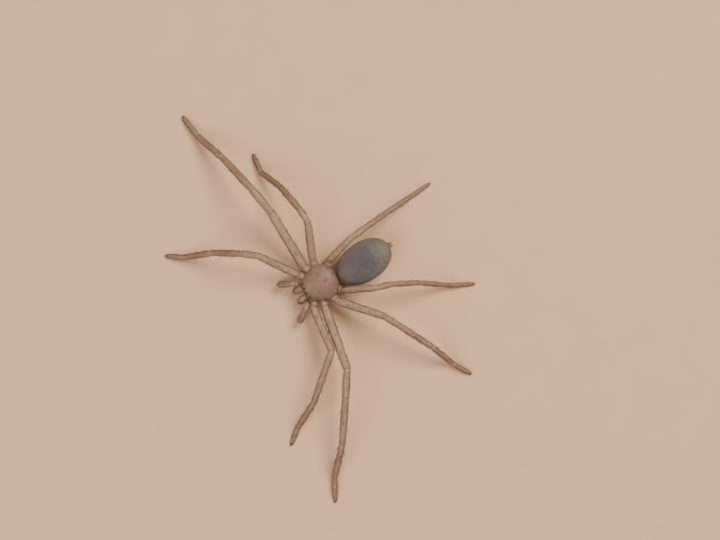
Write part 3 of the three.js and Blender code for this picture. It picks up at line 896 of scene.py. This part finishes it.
def straight_limb(start, end, outline, width, sides=24, rings=60, inset=COAT_DEPTH):
    """A round limb along a line. It gives the grid, the share of the length and the angle, 0 on top."""
    path = Path([start, end], [])
    share = np.linspace(outline[0][0], outline[-1][0], rings + 2)[1:-1]
    radius = np.maximum(outline_at(outline, share) * width / 2 - inset, 0.01)
    grid, turn = tube(path, share * path.spans[0], radius, sides)
    return grid, share, turn


def mirrored(point, side):
    return np.array([side * point[0], *point[1:]])


def groove(x, y, a, b, width):
    """1 on the line from a to b in plan, falling to 0 beside it and at its ends."""
    a, b = np.array(a, float), np.array(b, float)
    d = b - a
    t = np.clip(((x - a[0]) * d[0] + (y - a[1]) * d[1]) / (d @ d), 0, 1)
    distance = np.hypot(x - a[0] - t * d[0], y - a[1] - t * d[1])
    return bell(distance, width) * np.sin(math.pi * np.clip(t * 0.86 + 0.07, 0, 1))


# Striae run out from the fovea: headings in degrees and lengths
STRIAE = ((62, 2.3), (92, 2.5), (122, 2.4), (150, 1.8))


def build_carapace():
    grid, angle = lofted(CARAPACE, RIM_HEIGHT, 150, 144)
    x, y = grid[..., 0], grid[..., 1]
    top = np.clip(np.sin(angle), 0, 1)
    upper = step(top, 0.05, 0.3)
    lift = 0.1 * bell(x, 1.1) * bell(y + 1.9, 1.1)
    slit = groove(x, y, (0, FOVEA[1] - 0.45), (0, FOVEA[1] + 0.45), 0.09)
    cut, dark = 0.14 * slit, 0.7 * slit
    for side in (-1, 1):
        line = groove(x, y, (side * 0.15, 0.6), (side * 1.75, -1.75), 0.17)
        cut = cut + 0.05 * line
        dark = np.maximum(dark, 0.22 * line)
        for heading, length in STRIAE:
            h = math.radians(heading)
            start = (side * 0.35 * math.sin(h), FOVEA[1] - 0.35 * math.cos(h))
            end = (side * length * math.sin(h), FOVEA[1] - length * math.cos(h))
            line = groove(x, y, start, end, 0.12)
            cut = cut + 0.03 * line
            dark = np.maximum(dark, 0.16 * line)
    for where, radius in EYES.values():
        for side in (-1, 1):
            near = np.linalg.norm(grid - mirrored(where, side), axis=-1)
            dark = np.maximum(dark, 0.85 * bell(near, 1.5 * radius))
            lift = lift + 0.05 * bell(near, 1.7 * radius)
    grid[..., 2] += (lift - cut) * upper
    rim = bell(np.sin(angle) - 0.06, 0.08)
    dark = np.clip(np.maximum(dark * upper, 0.3 * rim), 0, 1)
    # Painted light: a paler band on the flank above the rim, lifting the shade that the curve takes
    # there
    edge = step(top, 0.02, 0.2) * (1 - step(top, 0.3, 0.75))
    pale = 0.15 * bell(x, 0.9) * bell(y - 0.2, 1.6) * upper * (1 - dark) + 0.2 * edge
    return Skin(grid, dark, pale, 0.8 * (1 - step(np.sin(angle), -0.4, 0.25)))


# The soft wall between carapace and sternum, from which the coxae grow
CORE_HEIGHT = 2.2
CORE = [
    (-2.3, 0, 0, 0),
    (-2.2, 0.9, 0.5, 0.35),
    (-1.2, 1.75, 0.7, 0.5),
    (0.2, 2.1, 0.8, 0.55),
    (1.5, 1.75, 0.7, 0.5),
    (2.5, 0.7, 0.5, 0.4),
    (2.6, 0, 0, 0),
]


def dress_carapace():
    skin = build_carapace()
    core, _ = lofted(CORE, CORE_HEIGHT, 40, 48)
    waist, *_ = straight_limb(**WAIST)
    skins = [skin, Skin(core, 0.35, 0, 1), Skin(waist, third=0.7)]
    piece(skins_mesh("carapace_skin", skins), BODY_SKIN, ["cephalothorax"])
    x, y, z = np.moveaxis(skin.grid, -1, 0)
    covered = step(z, RIM_HEIGHT - 0.5, RIM_HEIGHT + 0.1)

    def outward(roots):
        return unit(roots["point"] - np.array([FOVEA[0], FOVEA[1] - 0.6, RIM_HEIGHT - 0.4]))

    parts = [hairs(
        skin, covered, outward, 0.3, (17000, (0.12, 0.24), (66, 84), FINE, 0.2, DOWN, (0, 0.1)),
        (2600, (0.18, 0.32), (50, 75), FINE, 0.2, HAIR, (0, 0.5)))]
    # Down on the soft wall, the waist and the carapace's underside
    for part, count in zip([*skins[1:], skin], (1500, 250, 1200)):
        below = step(-part.grid[..., 2], -RIM_HEIGHT - 0.1, -RIM_HEIGHT + 0.2)
        parts.append(hairs(
            part, below, lambda roots: roots["point"] * [1, 1, 0], 0.6,
            (count, (0.12, 0.26), (60, 80), FINE, 0.2, DOWN, 0)))
    # Pale short hair on the face, between and below the eyes, and bristles leaning forward round them
    face = bell(x, 1.3) * step(-y, 2.3, 2.7) * step(z, RIM_HEIGHT - 0.3, RIM_HEIGHT) + 1e-9
    parts.append(hairs(
        skin, face, towards(0, -0.6, -0.8), 0.35, (1500, (0.12, 0.24), (45, 75), FINE, 0.2, HAIR, 0),
        pale=(0.3, 1)))
    brow = bell(x, 1.2) * bell(y + 2.75, 0.35) * step(z, RIM_HEIGHT + 0.1, RIM_HEIGHT + 0.4)
    parts.append(hairs(
        skin, brow, towards(0, -1, 0.1), 0.3, (90, (0.3, 0.6), (25, 50), 0.013, 0.3, BRISTLE, 0),
        dark=0.8))
    coat("carapace_hair", parts, BODY_HAIR)


def add_eyes():
    """Glossy lenses, each in a low dark collar."""
    lenses, collars, nodes = [], [], []
    heart = np.array([0, -1, 3])
    ring, small = circle(36), circle(12)
    for side, word in SIDES:
        for key, (where, radius) in EYES.items():
            centre = mirrored(where, side)
            nodes.append(f"eye_{word}_{key}")
            lenses.append(ball_skin(centre, np.full(3, radius)))
            out = unit(centre - heart)
            across = unit(np.cross(out, [0, 0, 1.0]))
            upward = np.cross(across, out)
            spoke = column(np.cos(ring)) * across + column(np.sin(ring)) * upward
            reach = column(radius * (0.98 + 0.2 * np.cos(small)))
            rise = column(radius * (0.28 + 0.17 * np.sin(small)))
            collars.append(centre + spoke[:, None] * reach + rise * out)
    piece(skins_mesh("eyes", lenses), EYE_LENS, nodes)
    here = np.arange(len(ring) * len(small)).reshape(len(ring), len(small))
    ahead = np.roll(here, -1, 0)
    quads = np.stack([here, np.roll(here, -1, 1), np.roll(ahead, -1, 1), ahead], -1).reshape(-1, 4)
    marks = np.tile([0.75, 0, 0, 0], (here.size, 1))
    parts = [(grid.reshape(-1, 3), [quads], marks) for grid in collars]
    piece(new_mesh("eye_collars", *join(parts)), BODY_SKIN)


def dress_sternum():
    grid, angle = lofted(STERNUM, STERNUM_HEIGHT, 60, 72)
    skin = Skin(grid, 0.45 * bell(np.sin(angle), 0.35), 0.35 * step(-np.sin(angle), 0.5, 1))
    labium = ball_skin(LABIUM["centre"], np.array(LABIUM["size"]) - COAT_DEPTH, (0.35, 0, 0.4))
    piece(skins_mesh("sternum_skin", [skin, labium]), BODY_SKIN, ["sternum"])
    under = step(-grid[..., 2], -STERNUM_HEIGHT, -STERNUM_HEIGHT + 0.1)
    back = towards(0, 1, 0)
    coat("sternum_hair", [
        hairs(
            skin, under, back, 0.35, (3200, (0.14, 0.3), (68, 84), FINE, 0.2, DOWN, (0, 0.1)),
            (260, (0.25, 0.45), (45, 65), FINE, 0.2, HAIR, (0, 0.5))),
        hairs(labium, None, back, 0.35, (160, (0.1, 0.2), (50, 75), FINE, 0.2, HAIR, (0, 0.3))),
    ], BODY_HAIR)


def abdomen_place(points):
    swing, tilt = math.radians(ABDOMEN["swing"]), math.radians(ABDOMEN["tilt"])
    turn = Matrix.Rotation(swing, 3, "Z") @ Matrix.Rotation(tilt, 3, "X")
    return np.asarray(points) @ np.array(turn).T + ABDOMEN["front"]


def abdomen_stations():
    stations = []
    for i in range(9):
        t = -math.cos(math.pi * i / 8)
        power = ABDOMEN["shoulder"] if t < 0 else 2
        swell = math.sqrt(max(0, 1 - abs(t) ** power)) * (1 + ABDOMEN["broadening"] * t)
        sizes = [ABDOMEN[key] * swell for key in ("half_width", "above", "below")]
        stations.append((ABDOMEN["length"] * (0.5 + 0.5 * t), *sizes))
    return stations


# The dimples of the abdomen's left half, from its front end
ABDOMEN_DIMPLES = ((0.858, 2.955), (0.99, 4.6295), (0.858, 6.304))


def build_abdomen():
    grid, angle = lofted(abdomen_stations(), 0, 170, 150)
    x, y = grid[..., 0], grid[..., 1]
    across, along = x / ABDOMEN["half_width"], y / ABDOMEN["length"]
    up = np.sin(angle)
    top = step(up, -0.2, 0.5)
    # Paired dimples on the back, and the furrow underneath
    dimples = sum(
        bell(np.hypot(x - side * dimple_x, y - dimple_y), 0.16)
        for side in (-1, 1) for dimple_x, dimple_y in ABDOMEN_DIMPLES)
    furrow = bell(along - 0.2 - 0.05 * across**2, 0.012) * step(-up, 0.2, 0.7)
    middle = bell(across, 0.7) * bell(along - 0.46, 0.36)
    dark = np.clip((0.75 * middle + 0.3 * dimples) * top + 0.25 * (1 - top) + 0.5 * furrow, 0, 1)
    # Painted sheen: the rear end, and on top the sides, are paler, standing for the sheen of the hair
    # along the rim
    rear = step(along, 0.55, 1) + 0.5 * step(np.abs(across), 0.55, 1) * top
    lungs = bell(np.abs(across) - 0.4, 0.16) * bell(along - 0.13, 0.045) * step(-up, 0.3, 0.8)
    pale = 0.6 * rear * (1 - 0.8 * dark) + 0.7 * lungs
    third = 0.9 * (1 - step(along, 0.03, 0.24))
    grid[..., 2] -= 0.06 * dimples * top - 0.05 * furrow
    return Skin(abdomen_place(grid), dark, pale, third)


def dress_abdomen():
    skin = build_abdomen()
    piece(skins_mesh("abdomen_skin", [skin]), ABDOMEN_SKIN, ["abdomen"])
    coat("abdomen_hair", [hairs(
        skin, None, along_skin, 0.2, (46000, (0.16, 0.32), (66, 84), 0.011, 0.2, DOWN, (0, 0.15)),
        (4200, (0.26, 0.44), (48, 72), 0.011, 0.2, HAIR, (0, 0.35)))], ABDOMEN_HAIR)


def add_spinnerets():
    """Two pairs of cones with a ring near the end."""
    outline = [(0, 1), (0.6, 0.95), (0.74, 0.86), (0.76, 0.7), (0.92, 0.6), (0.98, 0.35), (1, 0.05)]
    skins = []
    for across, level in ((-1, -1), (-1, 1), (1, -1), (1, 1)):
        spread, rise = across * SPINNERETS["spread"], level * SPINNERETS["rise"]
        height, length = SPINNERETS["height"], ABDOMEN["length"]
        start = abdomen_place([0.7 * spread, length - 0.6, 0.7 * rise + height])
        end = abdomen_place([spread, length + SPINNERETS["length"], rise + height])
        grid, share, _ = straight_limb(start, end, outline, SPINNERETS["width"], inset=0.01)
        skins.append(Skin(grid, column(0.4 + 0.35 * bell(share - 0.75, 0.05)), 0, 0.6))
    piece(skins_mesh("spinnerets_skin", skins), LEG_SKIN, ["spinnerets"])
    coat("spinnerets_hair", [
        hairs(skin, None, along_skin, 0.2, (260, (0.14, 0.26), (50, 75), FINE, 0.2, HAIR, 0), dark=0.5)
        for skin in skins
    ], LEG_HAIR)


# Mouthparts


def add_chelicera(side, word):
    grid, share, turn = straight_limb(
        mirrored(CHELICERA["base"], side), mirrored(CHELICERA["tips"][side], side),
        CHELICERA_OUTLINE, CHELICERA["width"], sides=40, rings=70)
    share = column(share)
    # Painted shade: inner darkens a band down one flank of each jaw, standing for the shadow in the gap
    # beside it
    inner = step(-side * np.sin(turn), 0.2, 0.9) * (0.35 + 0.3 * step(share, 0.2, 0.6))
    dark = 0.04 + 0.75 * step(share, 0.62, 1.02) + inner
    skin = Skin(grid, dark, 0.5 * (1 - step(share, 0, 0.25)))
    piece(skins_mesh(f"chelicera_{word}_skin", [skin]), JAW_SKIN, [f"chelicera_{word}"])
    front = np.broadcast_to(step(share, 0.02, 0.2), grid.shape[:2])
    upper = front * (0.4 + 0.6 * step(np.cos(turn), -0.3, 0.6))

    def forward(roots):
        return roots["along"] + np.array([0, -0.3, -0.2])

    coat(f"chelicera_{word}_hair", [
        hairs(skin, upper, along_skin, 0.25, (900, (0.14, 0.3), (50, 75), FINE, 0.3, HAIR, 0)),
        hairs(skin, front, forward, 0.25, (110, (0.4, 0.75), (30, 60), 0.014, 0.4, BRISTLE, 0)),
    ], BODY_HAIR)


def add_fang(side, word):
    """A curved horn, thick at its root and sharp at its end, bent down in the middle."""
    tip = np.array(CHELICERA["tips"][side])
    start, end = (mirrored(tip + FANG[key], side) for key in ("root", "point"))
    path = Path([start, end], [])
    share = np.linspace(0, 1, 50)
    at, thick = zip(*FANG_OUTLINE)
    radius = np.interp(share, at, thick) * FANG["radius"]
    radius[1:-1] = (radius[:-2] + radius[1:-1] + radius[2:]) / 3
    grid, _ = tube(path, share * path.spans[0], radius, 24)
    _, _, _, up = path.at(np.zeros(1))
    grid -= (FANG["bow"] * 4 * share * (1 - share))[:, None, None] * up
    piece(skins_mesh(f"fang_{word}_horn", [Skin(grid)]), FANG_HORN, [f"fang_{word}"])


def palp_limb(root, knee, tip):
    wrist = tip - unit(tip - knee) * PALP_CLUB_LENGTH
    points = [root, knee, wrist, tip]
    starts = Path(points, [0, 0]).starts
    joints = [
        (0.3 * starts[1], 0.1), (starts[1], 0.14), (0.45 * starts[1] + 0.55 * starts[2], 0.08),
        (starts[2], 0.14)]
    scales = [PALP_WIDTH / 2, PALP_WIDTH / 2, PALP_CLUB_WIDTH / 2]
    return Limb(points, [0.4, 0.25], PALP_OUTLINES, scales, joints, sides=26)


def add_palp(name, side, knee, tip):
    limb = palp_limb(*(mirrored(where, side) for where in (PALP_ROOT, knee, tip)))
    starts = limb.path.starts
    c = limb.along[:, None]
    club = step(c, starts[2] - 0.4, starts[2] + 0.6)
    rims, membranes = limb.dark[:, None], limb.pale[:, None]
    # Painted light: the club is paler, lifting the shade cast by its dense hair
    skin = Skin(
        limb.grid, 0.02 * (1 - membranes) + 0.2 * rims, np.maximum(0.5 * membranes, 0.3 * club),
        1 - 0.6 * step(c, 0, starts[1]))
    endite = ball_skin(
        mirrored(ENDITE["centre"], side), np.array(ENDITE["size"]) - COAT_DEPTH, (0.2, 0, 0.8),
        side * ENDITE["toe_in"])
    piece(skins_mesh(f"{name}_skin", [skin, endite]), LEG_SKIN, [f"{name}_base", f"{name}_club"])
    density = 0.35 + 0.65 * step(c, starts[2] - 0.5, starts[2] + 0.4)
    density = np.broadcast_to(density, limb.grid.shape[:2]) * step(c, 0.3, 0.8)
    own_hair = hairs(
        skin, density, along_skin, 0.25, (7000, (0.14, 0.3), (58, 80), 0.0095, 0.25, DOWN, 0),
        (1500, (0.2, 0.38), (42, 70), 0.01, 0.25, HAIR, 0.25),
        (160, (0.4, 0.75), (35, 60), 0.014, 0.25, BRISTLE, 0.4))
    coat(f"{name}_hair", [own_hair, *endite_hair(endite, side)], LEG_HAIR)


def endite_hair(endite, side):
    """Short lying hair, and a reddish fringe along the edge beside the mouth."""
    x, y, z = np.moveaxis(endite.grid, -1, 0)
    centre_x, centre_y, centre_z = mirrored(ENDITE["centre"], side)
    under = (z < centre_z) * 1.0
    inner = step(side * (centre_x - x), 0.12, 0.3) * step(centre_y - y, -0.3, 0.1) * under
    return [
        hairs(endite, weight, towards(*lie), 0.3, (count, lengths, leans, 0.01, 0.3, HAIR, (0, darker)))
        for weight, lie, count, lengths, leans, darker in (
            (under, (0, -1, 0), 420, (0.12, 0.24), (60, 80), 0.2),
            (inner, (-0.8 * side, -0.6, -0.3), 260, (0.2, 0.36), (25, 55), 0.45))]


def add_mouth():
    for side, word in SIDES:
        add_chelicera(side, word)
        add_fang(side, word)
    for name, pose in PALPS.items():
        add_palp(name, *pose)


add_legs()
dress_carapace()
dress_sternum()
dress_abdomen()
add_spinnerets()
add_mouth()
add_eyes()


# Stage


FLOOR_HALF = 600
# Place and width in metres, watts and colour
LIGHTS = {
    "key": ((-0.12, 0.38, 0.5), 0.35, 5, (1, 0.96, 0.9)),
    "fill": ((0.1, -0.38, 0.4), 0.45, 2.2, (0.97, 0.98, 1)),
}
SKY_COLOUR, SKY_STRENGTH = (1, 0.97, 0.94, 1), 0.45


def add_floor():
    corners = FLOOR_HALF * np.array([(-1, -1, 0), (1, -1, 0), (1, 1, 0), (-1, 1, 0)])
    floor = new_mesh("floor", corners - SHIFT * [1, 1, 0], [np.array([[0, 1, 2, 3]])])
    floor.data.materials.append(floor_material())


def add_light(name, location, size, watts, colour):
    """A soft round light that faces the frame's origin."""
    data = bpy.data.lights.new(name, "AREA")
    data.shape, data.size, data.energy, data.color = "DISK", size, watts, colour
    light = bpy.data.objects.new(name, data)
    light.location = location
    back = unit(np.array(location))
    right = unit(np.cross([0, 1, 0], back))
    light.rotation_euler = Matrix(np.stack([right, np.cross(back, right), back], 1).tolist()).to_euler()
    bpy.context.scene.collection.objects.link(light)


def add_camera():
    """Straight above, with the photograph's middle, width and turn."""
    data = bpy.data.cameras.new("camera")
    data.sensor_width = SENSOR_WIDTH
    data.lens = SENSOR_WIDTH * CAMERA_HEIGHT / PHOTO_WIDTH
    data.clip_start, data.clip_end = 0.01, 20
    camera = bpy.data.objects.new("camera", data)
    turn = math.radians(PHOTO_RIGHT_DEGREES)
    right = np.array([math.cos(turn), math.sin(turn), 0])
    up = np.array([-math.sin(turn), math.cos(turn), 0])
    middle = place([*PHOTO_MIDDLE, 0])
    camera.matrix_world = Matrix.Translation(middle + [0, 0, CAMERA_HEIGHT * MM]) @ Matrix(
        np.stack([right, up, [0, 0, 1]], 1).tolist()).to_4x4()
    bpy.context.scene.collection.objects.link(camera)
    bpy.context.scene.camera = camera


def add_world():
    world = bpy.data.worlds.new("world")
    bpy.context.scene.world = world
    world.use_nodes = True
    sky = world.node_tree.nodes["Background"].inputs
    sky["Color"].default_value, sky["Strength"].default_value = SKY_COLOUR, SKY_STRENGTH


add_floor()
for light_name, light_facts in LIGHTS.items():
    add_light(light_name, *light_facts)
add_camera()
add_world()
